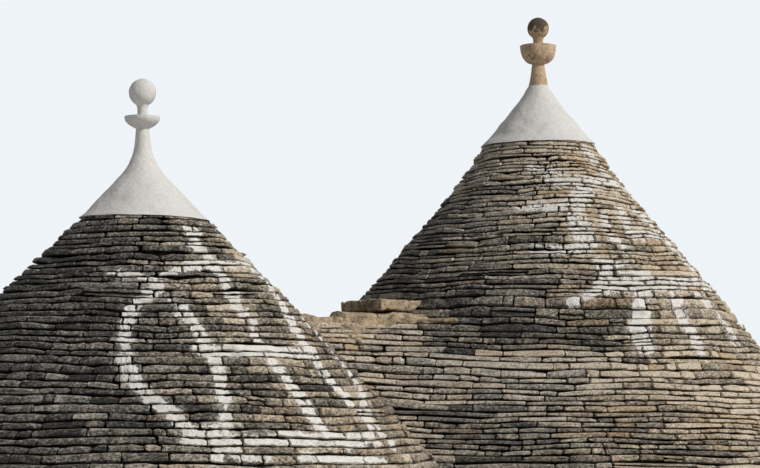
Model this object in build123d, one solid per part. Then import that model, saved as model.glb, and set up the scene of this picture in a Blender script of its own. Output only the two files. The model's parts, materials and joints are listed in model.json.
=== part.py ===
# A trullo house: two round rooms under dry-stone cones, joined by a vaulted passage.
# Millimetres, +Z up. X runs from the small room to the tall one and the door faces -Y.
# The origin is on the ground under the middle of the house.
# Round work has flat sides, as it is laid in short straight stones.

from build123d import *
from math import acos, cos, degrees, radians, sin
import os

os.makedirs("parts", exist_ok=True)

# Plan
axis_distance = 4120
small_room_radius = 1600
tall_room_radius = 1800
small_wall_thickness = 1060
tall_wall_thickness = 1220
wall_batter = 80
wall_height = 2250
floor_thickness = 100
side_count = 36

# Eaves and roof cones, measured on the outside of the slab cover: a cone rises to its waist, then its top
eaves_thickness = 70
eaves_projection = 100
cone_overhang = 20
small_cone_rise = 1450
small_cone_waist_radius = 1300
small_shoulder_rise = 800
small_cone_top_radius = 510
tall_cone_rise = 2610
tall_cone_waist_radius = 890
tall_shoulder_rise = 555
tall_cone_top_radius = 490
slab_depth = 300
slab_lift_rise = 500
slab_lift_set_back = 28

# Corbelled domes inside the cones: stone over the crown, lifts, and the lift that starts the upper dome
small_crown_cover = 550
small_dome_lift_count = 6
small_upper_lift_count = 3
tall_crown_cover = 785
tall_dome_lift_count = 7
tall_upper_lift_count = 3
dome_bulge = 1.25
corbel_share = 0.4

# Saddle between the cones, wider towards the tall one
saddle_rise = 549
saddle_small_half_top = 200
saddle_tall_half_top = 680
saddle_cover_depth = 150
saddle_bite = 250
saddle_fall = 1.06
paving_thickness = 80
paving_overhang = 40
paving_count = 3
ledge_thickness = 100
ledge_projection = 290
ledge_front_reach = 450
ledge_back_reach = 200
ledge_count = 2
stone_joint = 8

# Doorway, passage and windows
door_width = 900
door_crown = 1950
door_stone = 180
door_stone_count = 7
passage_width = 800
passage_crown = 1950
passage_stone = 160
passage_stone_count = 7
window_width = 450
window_height = 560
window_sill_height = 1150
lintel_thickness = 150
lintel_bearing = 120
sill_thickness = 80
sill_depth = 300
sill_projection = 40
frame_set_back = 260
frame_depth = 60
frame_bar = 45
pane_thickness = 4

# Pinnacles: radius and height of each turned piece
small_cap_height = 440
small_cap_neck_radius = 120
small_stem_height = 300
small_stem_radius = 52
small_disc_height = 100
small_disc_radius = 146
small_ball_radius = 115
small_neck_radius = 42
small_neck_height = 95
tall_cap_height = 535
tall_cap_neck_radius = 88
tall_stem_height = 206
tall_stem_radius = 55
tall_bowl_height = 171
tall_bowl_radius = 168
tall_bowl_foot_radius = 65
tall_bowl_rim = 20
tall_ball_radius = 102
tall_neck_radius = 46
tall_neck_height = 74
ball_facet_count = 8
bowl_facet_count = 4
ball_crown_angle = 80
pinnacle_side_count = 24

# Directions in plan, in degrees from +X
front = 270
back = 90
far_end = 180
full_turn = 360
half_turn = 180
cheek = 45
cut_margin = 1.5

# What follows from the sizes above
eaves_top = wall_height + eaves_thickness
small_wall_radius = small_room_radius + small_wall_thickness
tall_wall_radius = tall_room_radius + tall_wall_thickness
small_cone_foot_radius = small_wall_radius + cone_overhang
tall_cone_foot_radius = tall_wall_radius + cone_overhang
small_cone_height = eaves_top + small_cone_rise + small_shoulder_rise
tall_cone_height = eaves_top + tall_cone_rise + tall_shoulder_rise
small_eaves_radius = small_cone_foot_radius + eaves_projection
tall_eaves_radius = tall_cone_foot_radius + eaves_projection
small_x = -(axis_distance + tall_eaves_radius - small_eaves_radius) / 2
tall_x = small_x + axis_distance
reach = 2 * (axis_distance + tall_eaves_radius)


def many_sided(levels, axis_x, sides=side_count):
    # A solid about an upright axis whose (radius, height) levels are joined by flat sides.
    rings = []
    for radius, height in levels:
        outline = Pos(axis_x, 0, height) * RegularPolygon(radius, sides)
        rings.append([vertex.center() for vertex in outline.wire().vertices()])
    faces = [Face(Wire.make_polygon(rings[0])), Face(Wire.make_polygon(rings[-1]))]
    for lower, upper in zip(rings, rings[1:]):
        for here in range(sides):
            corners = [lower[here - 1], lower[here], upper[here], upper[here - 1]]
            faces.append(Face(Wire.make_polygon(corners)))
    return Part() + Solid(Shell(faces))


def turned(points, start, arc):
    # A profile of (radius, height) points turned part of the way about the upright axis.
    profile = make_face(Plane.XZ * Polyline(*points, close=True))
    return Rot(0, 0, start) * revolve(profile, Axis.Z, arc)


def sector(axis_x, start, end):
    # Everything that lies between two directions seen from a room's axis.
    return Pos(axis_x, 0, 0) * turned([(0, 0), (reach, 0), (reach, reach), (0, reach)], start, end - start)


def upright_slot(axis_x, direction, width, bottom, top):
    # A straight cut that runs outwards from a room's axis.
    slot = Box(reach, width, top - bottom, align=(Align.MIN, Align.CENTER, Align.MIN))
    return Pos(axis_x, 0, bottom) * Rot(0, 0, direction) * slot


def arch_piece(axis_x, direction, spring, inner, outer, start, arc):
    # A piece of an arch ring whose level axis runs outwards from a room's axis.
    ring = turned([(inner, 0), (outer, 0), (outer, reach), (inner, reach)], start, arc)
    return Pos(axis_x, 0, spring) * Rot(0, 0, direction - front) * Rot(90, 0, 0) * ring


def save(name, *shapes):
    # One file for each named piece.
    solids = [solid for shape in shapes for solid in shape.solids()]
    export_step(Compound(children=solids) if len(solids) > 1 else solids[0], f"parts/{name}.step")


def meeting_angle(distance, near, far):
    # Where two circles cross, seen from the near circle's centre.
    return degrees(acos((distance**2 + near**2 - far**2) / (2 * distance * near)))


# Drum walls
small_drum = many_sided([(small_wall_radius, 0), (small_wall_radius - wall_batter, wall_height)], small_x)
tall_drum = many_sided([(tall_wall_radius, 0), (tall_wall_radius - wall_batter, wall_height)], tall_x)
small_room = many_sided([(small_room_radius, 0), (small_room_radius, wall_height)], small_x)
tall_room = many_sided([(tall_room_radius, 0), (tall_room_radius, wall_height)], tall_x)
small_ring = small_drum - small_room
tall_ring = tall_drum - tall_room
small_cut = meeting_angle(axis_distance, small_wall_radius, tall_wall_radius) + cut_margin
tall_cut = meeting_angle(axis_distance, tall_wall_radius, small_wall_radius) + cut_margin


def window_cut(axis_x, direction):
    # The full height of wall at a window, with the seats of its lintel.
    lintel_bottom = window_sill_height + window_height
    slot = upright_slot(axis_x, direction, window_width, 0, wall_height)
    return slot + upright_slot(
        axis_x, direction, window_width + 2 * lintel_bearing, lintel_bottom, lintel_bottom + lintel_thickness
    )


def window_stones(ring, axis_x, direction, wall_radius):
    # The wall under and over a window, its lintel and its sill.
    lintel_bottom = window_sill_height + window_height
    lintel_top = lintel_bottom + lintel_thickness
    wall = ring & sector(axis_x, direction - cheek, direction + cheek)
    sill = Box(sill_depth, window_width, sill_thickness, align=(Align.MAX, Align.CENTER, Align.MAX))
    sill = Pos(wall_radius - wall_batter / 2 + sill_projection, 0, window_sill_height) * sill
    sill = Pos(axis_x, 0, 0) * Rot(0, 0, direction) * sill
    under = wall & upright_slot(axis_x, direction, window_width, 0, window_sill_height)
    over = wall & upright_slot(axis_x, direction, window_width, lintel_top, wall_height)
    lintel_width = window_width + 2 * lintel_bearing
    lintel = wall & upright_slot(axis_x, direction, lintel_width, lintel_bottom, lintel_top)
    return under - sill, over, lintel, sill


def window_joinery(axis_x, direction, wall_radius):
    # A wooden frame with a middle bar, and the two panes that it holds.
    place = Pos(axis_x, 0, window_sill_height) * Rot(0, 0, direction)
    place *= Pos(wall_radius - frame_set_back, 0, 0)
    pane_width = (window_width - 3 * frame_bar) / 2
    pane_height = window_height - 2 * frame_bar
    frame = Box(frame_depth, window_width, window_height, align=(Align.CENTER, Align.CENTER, Align.MIN))
    panes = []
    for side in (-1, 1):
        spot = Pos(0, side * (pane_width + frame_bar) / 2, frame_bar)
        frame -= spot * Box(reach, pane_width, pane_height, align=(Align.CENTER, Align.CENTER, Align.MIN))
        pane = Box(pane_thickness, pane_width, pane_height, align=(Align.CENTER, Align.CENTER, Align.MIN))
        panes.append(place * spot * pane)
    return place * frame, panes


def arch_stones(wall, axis_x, direction, width, crown, thickness, count):
    # The wedge stones of a round arch, trimmed to the wall that they stand in.
    spring = crown - width / 2
    outer = width / 2 + thickness
    joint = degrees(stone_joint / outer)
    stones = []
    for number in range(count):
        start = half_turn * number / count + joint / 2
        stone = arch_piece(axis_x, direction, spring, width / 2, outer, start, half_turn / count - joint)
        stones.append(wall & stone)
    return stones


def arch_cut(axis_x, direction, width, crown, thickness):
    # The doorway up to its spring line and the half round that the arch fills.
    spring = crown - width / 2
    half_round = arch_piece(axis_x, direction, spring, 0, width / 2 + thickness, 0, half_turn)
    return upright_slot(axis_x, direction, width, 0, wall_height) + half_round


def arch_head(wall, axis_x, direction, width, crown, thickness):
    # The wall that lies on an arch.
    spring = crown - width / 2
    above = upright_slot(axis_x, direction, width, spring, wall_height)
    return (wall & above) - arch_piece(axis_x, direction, spring, 0, width / 2 + thickness, 0, half_turn)


# Small room: a window to the front and one at the far end
small_front_cut = window_cut(small_x, front)
small_end_cut = window_cut(small_x, far_end)
save("small_front_wall", (small_ring & sector(small_x, front, full_turn - small_cut)) - small_front_cut)
save("small_corner_wall", (small_ring & sector(small_x, far_end, front)) - small_front_cut - small_end_cut)
save("small_back_wall", (small_ring & sector(small_x, small_cut, far_end)) - small_end_cut)

# Tall room: the door to the front and a window to the back
door_cut = arch_cut(tall_x, front, door_width, door_crown, door_stone)
tall_back_cut = window_cut(tall_x, back)
save("tall_front_wall", (tall_ring & sector(tall_x, far_end + tall_cut, front)) - door_cut)
save("tall_front_corner_wall", (tall_ring & sector(tall_x, front, full_turn)) - door_cut)
save("tall_back_corner_wall", (tall_ring & sector(tall_x, 0, back)) - tall_back_cut)
save("tall_back_wall", (tall_ring & sector(tall_x, back, far_end - tall_cut)) - tall_back_cut)

# Doorway
door_wall = tall_ring & sector(tall_x, front - cheek, front + cheek)
door_stones = arch_stones(door_wall, tall_x, front, door_width, door_crown, door_stone, door_stone_count)
save("door_arch", *door_stones)
save("door_head_wall", arch_head(door_wall, tall_x, front, door_width, door_crown, door_stone))
save("door_threshold", door_wall & upright_slot(tall_x, front, door_width, 0, floor_thickness))

# Windows
windows = [
    ("small_front", small_ring, small_x, front, small_wall_radius),
    ("small_end", small_ring, small_x, far_end, small_wall_radius),
    ("tall_back", tall_ring, tall_x, back, tall_wall_radius),
]
lintels = []
sills = []
frames = []
panes = []
for name, ring, axis_x, direction, wall_radius in windows:
    under, over, lintel, sill = window_stones(ring, axis_x, direction, wall_radius)
    save(f"{name}_window_walls", under, over)
    frame, pane_pair = window_joinery(axis_x, direction, wall_radius)
    lintels.append(lintel)
    sills.append(sill)
    frames.append(frame)
    panes.extend(pane_pair)
save("window_lintels", *lintels)
save("window_sills", *sills)
save("window_frames", *frames)
save("window_panes", *panes)

# Shared wall between the rooms, with the vaulted passage through it
small_wedge = small_drum & sector(small_x, -small_cut, small_cut)
tall_wedge = tall_drum & sector(tall_x, far_end - tall_cut, far_end + tall_cut)
shared_wall = small_wedge + tall_wedge - small_room - tall_room
passage_cut = arch_cut(small_x, 0, passage_width, passage_crown, passage_stone)
shared_sides = shared_wall - passage_cut
front_half = Box(reach, reach, reach, align=(Align.CENTER, Align.MAX, Align.MIN))
back_half = Box(reach, reach, reach, align=(Align.CENTER, Align.MIN, Align.MIN))
save("shared_front_wall", shared_sides & front_half)
save("shared_back_wall", shared_sides & back_half)
passage_stones = arch_stones(
    shared_wall, small_x, 0, passage_width, passage_crown, passage_stone, passage_stone_count
)
save("passage_arch", *passage_stones)
save("passage_head_wall", arch_head(shared_wall, small_x, 0, passage_width, passage_crown, passage_stone))
save("passage_floor", shared_wall & upright_slot(small_x, 0, passage_width, 0, floor_thickness))

# Room floors
for name, axis_x, radius in (("small", small_x, small_room_radius), ("tall", tall_x, tall_room_radius)):
    save(f"{name}_floor", many_sided([(radius, 0), (radius, floor_thickness)], axis_x))

# The upright plane in which the two roofs meet
roof_split = small_x + (axis_distance**2 + small_cone_foot_radius**2 - tall_cone_foot_radius**2) / (
    2 * axis_distance
)
small_side = Pos(roof_split, 0, 0) * Box(reach, reach, reach, align=(Align.MAX, Align.CENTER, Align.MIN))
tall_side = Pos(roof_split, 0, 0) * Box(reach, reach, reach, align=(Align.MIN, Align.CENTER, Align.MIN))


def eaves_ring(axis_x, foot_radius, eaves_radius):
    # Flat slabs on the wall top, standing out past the wall and the roof.
    inner = foot_radius - slab_depth
    whole = many_sided([(eaves_radius, wall_height), (eaves_radius, eaves_top)], axis_x)
    return whole - many_sided([(inner, wall_height), (inner, eaves_top)], axis_x)


def bed_of(outline):
    # The inside of the slab cover, of even depth measured level.
    return [(radius - slab_depth, height) for radius, height in outline]


def laid_in_lifts(outline):
    # The outside of the slab cover: each lift of courses stands back a little from the one below it.
    levels = [outline[0]]
    for (foot, base), (head, top) in zip(outline, outline[1:]):
        count = max(1, round((top - base) / slab_lift_rise))
        for lift in range(1, count + 1):
            radius = foot + (head - foot) * lift / count
            height = base + (top - base) * lift / count
            levels += [(radius, height), (radius - slab_lift_set_back, height)]
    return levels[:-1]


def roof_cover(axis_x, outline):
    return many_sided(laid_in_lifts(outline), axis_x) - many_sided(bed_of(outline), axis_x)


def corbelled_dome(axis_x, outline, room_radius, crown, lift_count):
    # Inner shell: each lift leans in and then steps over the one below it.
    bed = bed_of(outline)
    dome = many_sided([(bed[0][0], wall_height)] + bed, axis_x)
    rise = (crown - wall_height) / lift_count
    rings = []
    for lift in range(lift_count):
        lower = room_radius * (1 - (lift / lift_count) ** dome_bulge)
        upper = room_radius * (1 - ((lift + 1) / lift_count) ** dome_bulge)
        lean = upper + (lower - upper) * corbel_share
        base = wall_height + lift * rise
        rings.append(many_sided([(lower, base), (lean, base + rise)], axis_x))
    return dome - rings


def save_dome(name, dome, crown, lift_count, upper_lift_count):
    # A dome is laid in rings, here a lower one and an upper one.
    parting = crown - (crown - wall_height) * upper_lift_count / lift_count
    above = Pos(0, 0, parting) * Box(reach, reach, reach, align=(Align.CENTER, Align.CENTER, Align.MIN))
    save(f"{name}_lower_dome", dome - above)
    save(f"{name}_upper_dome", dome & above)


def whole_cone(axis_x, outline):
    # Everything under the outside of a roof, down to the ground.
    return many_sided([(outline[0][0], 0)] + laid_in_lifts(outline), axis_x)


small_outline = [
    (small_cone_foot_radius, eaves_top),
    (small_cone_waist_radius, eaves_top + small_cone_rise),
    (small_cone_top_radius, small_cone_height),
]
tall_outline = [
    (tall_cone_foot_radius, eaves_top),
    (tall_cone_waist_radius, eaves_top + tall_cone_rise),
    (tall_cone_top_radius, tall_cone_height),
]
save("small_eaves", eaves_ring(small_x, small_cone_foot_radius, small_eaves_radius) & small_side)
save("tall_eaves", eaves_ring(tall_x, tall_cone_foot_radius, tall_eaves_radius) & tall_side)
small_crown = small_cone_height - small_crown_cover
tall_crown = tall_cone_height - tall_crown_cover
small_dome = corbelled_dome(small_x, small_outline, small_room_radius, small_crown, small_dome_lift_count)
tall_dome = corbelled_dome(tall_x, tall_outline, tall_room_radius, tall_crown, tall_dome_lift_count)
save_dome("small", small_dome & small_side, small_crown, small_dome_lift_count, small_upper_lift_count)
save_dome("tall", tall_dome & tall_side, tall_crown, tall_dome_lift_count, tall_upper_lift_count)
save("small_roof_cover", roof_cover(small_x, small_outline) & small_side)
save("tall_roof_cover", roof_cover(tall_x, tall_outline) & tall_side)

# Saddle: rubble on the valley between the cones, covered, paved and ledged
small_cone = whole_cone(small_x, small_outline)
tall_cone = whole_cone(tall_x, tall_outline)
small_slope = (small_cone_foot_radius - small_cone_waist_radius) / small_cone_rise
tall_slope = (tall_cone_foot_radius - tall_cone_waist_radius) / tall_cone_rise
valley_rise = (small_cone_foot_radius + tall_cone_foot_radius - axis_distance) / (small_slope + tall_slope)
saddle_top = eaves_top + valley_rise + saddle_rise
saddle_spread = (valley_rise + saddle_rise) / saddle_fall
paving_top = saddle_top + paving_thickness
ledge_top = paving_top + ledge_thickness
small_flank = small_x + small_cone_foot_radius - small_slope * (paving_top - eaves_top)
tall_flank = tall_x - tall_cone_foot_radius + tall_slope * (paving_top - eaves_top)


def along_the_saddle(points):
    # Joins two sections of (side, offset, height) points, one inside each cone.
    # An offset is measured from the edge of the saddle's top.
    sections = []
    for x, half_top in (
        (small_flank - saddle_bite, saddle_small_half_top),
        (tall_flank + saddle_bite, saddle_tall_half_top),
    ):
        outline = [(side * (half_top + offset), height) for side, offset, height in points]
        sections.append(Pos(x, 0, 0) * make_face(Plane.YZ * Polyline(*outline, close=True)))
    return loft(sections, ruled=True) - small_cone - tall_cone


def level_strip(bottom, top):
    # Flat work as wide as the saddle's paving.
    corners = ((-1, bottom), (1, bottom), (1, top), (-1, top))
    return along_the_saddle([(side, paving_overhang, height) for side, height in corners])


save(
    "saddle_fill",
    along_the_saddle(
        [
            (-1, -saddle_cover_depth, saddle_top),
            (1, -saddle_cover_depth, saddle_top),
            (1, saddle_spread - saddle_cover_depth, eaves_top),
            (-1, saddle_spread - saddle_cover_depth, eaves_top),
        ]
    ),
)
for name, side in (("front", -1), ("back", 1)):
    skin = [
        (side, 0, saddle_top),
        (side, -saddle_cover_depth, saddle_top),
        (side, saddle_spread - saddle_cover_depth, eaves_top),
        (side, saddle_spread, eaves_top),
    ]
    save(f"saddle_{name}_cover", along_the_saddle(skin))

# Paving slabs on the saddle, from one cone to the other
paving_pitch = (tall_flank - small_flank) / paving_count
paving_strip = level_strip(saddle_top, paving_top)
slabs = []
for number in range(paving_count):
    joint = small_flank + number * paving_pitch
    left = -reach if number == 0 else joint + stone_joint / 2
    right = reach if number == paving_count - 1 else joint + paving_pitch - stone_joint / 2
    span = Box(right - left, reach, reach, align=(Align.MIN, Align.CENTER, Align.MIN))
    slabs.append(paving_strip & (Pos(left, 0, 0) * span))
save("saddle_paving", *slabs)

# Ledge of thick slabs side by side on the paving, standing out of the tall cone
ledge_pitch = (ledge_front_reach + ledge_back_reach) / ledge_count
ledge_strip = level_strip(paving_top, ledge_top)
ledges = []
for number in range(ledge_count):
    span = Box(reach, ledge_pitch - stone_joint, reach, align=(Align.MIN, Align.MIN, Align.MIN))
    near_side = -ledge_front_reach + number * ledge_pitch + stone_joint / 2
    ledges.append(ledge_strip & (Pos(tall_flank - ledge_projection, near_side, 0) * span))
save("saddle_ledge", *ledges)


# Pinnacles
def ball_on_neck(axis_x, base, neck_radius, neck_height, ball_radius):
    # A faceted stone ball, a little flat on top, with the short neck that it stands on.
    first = degrees(acos(neck_radius / ball_radius))
    centre = base + neck_height + ball_radius * sin(radians(first))
    levels = [(neck_radius, base)]
    for facet in range(ball_facet_count + 1):
        angle = radians(-first + (first + ball_crown_angle) * facet / ball_facet_count)
        levels.append((ball_radius * cos(angle), centre + ball_radius * sin(angle)))
    return many_sided(levels, axis_x, pinnacle_side_count)


def flared_cap(axis_x, base, height, base_radius, neck_radius):
    # Plaster skirt whose sides curve in: the share of the flare that is left at each share of the height.
    shares = ((0, 1), (0.4, 0.58), (0.75, 0.2), (1, 0))
    flare = base_radius - neck_radius
    return many_sided([(neck_radius + flare * left, base + height * share) for share, left in shares], axis_x)


small_stem_base = small_cone_height + small_cap_height
small_disc_base = small_stem_base + small_stem_height
small_ball_base = small_disc_base + small_disc_height
small_cap = flared_cap(
    small_x, small_cone_height, small_cap_height, small_cone_top_radius, small_cap_neck_radius
)
save("small_cap", small_cap)
small_stem = [
    (small_cap_neck_radius, small_stem_base),
    ((small_cap_neck_radius + 2 * small_stem_radius) / 3, small_stem_base + small_stem_height / 3),
    (small_stem_radius, small_disc_base),
]
save("small_stem", many_sided(small_stem, small_x, pinnacle_side_count))
small_disc = [
    (small_stem_radius, small_disc_base),
    ((small_stem_radius + 2 * small_disc_radius) / 3, small_disc_base + small_disc_height / 3),
    (small_disc_radius, small_disc_base + 2 * small_disc_height / 3),
    (small_disc_radius, small_ball_base),
]
save("small_disc", many_sided(small_disc, small_x, pinnacle_side_count))
small_ball = ball_on_neck(small_x, small_ball_base, small_neck_radius, small_neck_height, small_ball_radius)
save("small_ball", small_ball)

tall_stem_base = tall_cone_height + tall_cap_height
tall_bowl_base = tall_stem_base + tall_stem_height
tall_ball_base = tall_bowl_base + tall_bowl_height
tall_cap = flared_cap(tall_x, tall_cone_height, tall_cap_height, tall_cone_top_radius, tall_cap_neck_radius)
save("tall_cap", tall_cap)
tall_stem = [(tall_cap_neck_radius, tall_stem_base), (tall_stem_radius, tall_bowl_base)]
save("tall_stem", many_sided(tall_stem, tall_x, pinnacle_side_count))
bowl_flare = tall_bowl_radius - tall_bowl_foot_radius
bowl_rise = tall_bowl_height - tall_bowl_rim
tall_bowl = []
for step in range(bowl_facet_count + 1):
    angle = radians(back * step / bowl_facet_count)
    radius = tall_bowl_foot_radius + bowl_flare * sin(angle)
    tall_bowl.append((radius, tall_bowl_base + bowl_rise * (1 - cos(angle))))
tall_bowl.append((tall_bowl_radius, tall_ball_base))
save("tall_bowl", many_sided(tall_bowl, tall_x, pinnacle_side_count))
tall_ball = ball_on_neck(tall_x, tall_ball_base, tall_neck_radius, tall_neck_height, tall_ball_radius)
save("tall_ball", tall_ball)
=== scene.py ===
import bmesh
import bpy
import json
import math
import numpy as np
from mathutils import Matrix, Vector, kdtree, noise


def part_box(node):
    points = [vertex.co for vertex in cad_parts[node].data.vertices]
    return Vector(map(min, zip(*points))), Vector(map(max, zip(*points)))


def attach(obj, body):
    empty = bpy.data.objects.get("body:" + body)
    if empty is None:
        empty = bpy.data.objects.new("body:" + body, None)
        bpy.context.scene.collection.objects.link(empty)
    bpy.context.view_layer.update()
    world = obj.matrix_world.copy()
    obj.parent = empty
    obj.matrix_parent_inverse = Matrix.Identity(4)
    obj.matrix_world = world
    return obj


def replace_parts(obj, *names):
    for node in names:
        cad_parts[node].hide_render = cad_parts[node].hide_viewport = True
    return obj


# A trullo house in metres: +X from the small room to the tall one, door towards -Y

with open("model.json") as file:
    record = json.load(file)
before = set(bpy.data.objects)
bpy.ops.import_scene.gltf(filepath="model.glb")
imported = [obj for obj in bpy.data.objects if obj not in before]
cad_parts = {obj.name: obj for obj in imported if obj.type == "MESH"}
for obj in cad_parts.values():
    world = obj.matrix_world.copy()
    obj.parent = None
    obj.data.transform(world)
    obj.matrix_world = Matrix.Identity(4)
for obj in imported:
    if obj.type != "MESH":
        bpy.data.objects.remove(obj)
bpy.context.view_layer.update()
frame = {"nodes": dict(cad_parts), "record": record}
nodes = frame["nodes"]
dice = np.random.default_rng(41)
alongX, upZ = 0, 2     # places of x and z in a point
ringLeast = 12         # a height at which a round CAD piece has more corners than this holds a ring of them


def spanOf(node, axis):
    # the least and the greatest x or z of a CAD piece
    low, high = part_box(node)
    return low[axis], high[axis]


def halfWidthOf(node):
    left, right = spanOf(node, alongX)
    return (right - left) / 2


def verticesOf(node):
    mesh = nodes[node].data
    flat = np.empty(len(mesh.vertices) * 3)
    mesh.vertices.foreach_get("co", flat)
    return flat.reshape(-1, 3)


def outlineOf(node, axisX):
    # outer radius of a round CAD piece at each height where it has a ring of corners
    corners = verticesOf(node)
    radii = np.hypot(corners[:, 0] - axisX, corners[:, 1])
    rounded = corners[:, 2].round(3)
    heights, counts = np.unique(rounded, return_counts=True)
    heights = heights[counts > ringLeast]
    return heights, np.array([radii[rounded == height].max() for height in heights])


roofAxis = {name: sum(spanOf(f"{name}_floor", alongX)) / 2 for name in ("small", "tall")}
smallX, tallX = roofAxis["small"], roofAxis["tall"]
wallTop = spanOf("small_front_wall", upZ)[1]
eavesTop = spanOf("small_eaves", upZ)[1]
roofSplit = spanOf("small_eaves", alongX)[1]

# Camera and light
view = {
    "photoWidth": 760, "photoHeight": 468, "lens": 104.2, "sensor": 36.0, "farthest": 500,
    "place": (-10.67, -16.03, 2.9),      # in front of the small room, above eye level
    "bearing": 33.9, "pitch": 4.885,     # degrees to the right of +Y, and upwards
}
bearing, pitch = math.radians(view["bearing"]), math.radians(view["pitch"])
lookAt = Vector((math.sin(bearing) * math.cos(pitch), math.cos(bearing) * math.cos(pitch), math.sin(pitch)))
cameraRight = lookAt.cross(Vector((0, 0, 1))).normalized()
cameraUp = cameraRight.cross(lookAt)


def placeCamera():
    data = bpy.data.cameras.new("camera")
    data.lens = view["lens"]
    data.sensor_width = view["sensor"]
    data.clip_end = view["farthest"]
    camera = bpy.data.objects.new("camera", data)
    camera.location = view["place"]
    camera.rotation_euler = lookAt.to_track_quat("-Z", "Y").to_euler()
    bpy.context.scene.collection.objects.link(camera)
    bpy.context.scene.camera = camera


light = {
    "ambient": 0.25, "ambientColour": (0.97, 0.985, 1.0),
    "sun": 3.15, "sunColour": (1.0, 0.955, 0.885), "softness": 8,      # degrees
    "across": 0.80, "towards": 0.42, "above": 0.62,    # where the lamp stands, seen from the camera
    "backdrop": (0.86, 0.90, 0.94), "floor": (0.80, 0.79, 0.77),
}


def placeWorld():
    # a pale backdrop for the camera and for reflections, a dimmer one that lights the house
    world = bpy.data.worlds.new("studio")
    bpy.context.scene.world = world
    world.use_nodes = True
    tree = world.node_tree
    tree.nodes.clear()
    seen = tree.nodes.new("ShaderNodeBackground")
    seen.inputs["Color"].default_value = (*light["backdrop"], 1)
    fill = tree.nodes.new("ShaderNodeBackground")
    fill.inputs["Color"].default_value = (*light["ambientColour"], 1)
    fill.inputs["Strength"].default_value = light["ambient"]
    path = tree.nodes.new("ShaderNodeLightPath")
    either = tree.nodes.new("ShaderNodeMath")
    either.operation = "MAXIMUM"
    tree.links.new(path.outputs["Is Camera Ray"], either.inputs[0])
    tree.links.new(path.outputs["Is Glossy Ray"], either.inputs[1])
    mix = tree.nodes.new("ShaderNodeMixShader")
    for index, source in enumerate((either, fill, seen)):
        tree.links.new(source.outputs[0], mix.inputs[index])
    output = tree.nodes.new("ShaderNodeOutputWorld")
    tree.links.new(mix.outputs[0], output.inputs[0])


def placeSun():
    lamp = bpy.data.lights.new("sun", "SUN")
    lamp.energy = light["sun"]
    lamp.angle = math.radians(light["softness"])
    lamp.color = light["sunColour"]
    sun = bpy.data.objects.new("sun", lamp)
    toCamera = Vector((-lookAt.x, -lookAt.y, 0)).normalized()
    rayFrom = cameraRight * light["across"] + toCamera * light["towards"] + Vector((0, 0, light["above"]))
    sun.rotation_euler = rayFrom.to_track_quat("Z", "Y").to_euler()
    bpy.context.scene.collection.objects.link(sun)
    return rayFrom.normalized()


placeCamera()
placeWorld()
sunDirection = placeSun()
bpy.context.scene.view_settings.view_transform = "Standard"
print("camera and light stand")

# Materials


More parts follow.
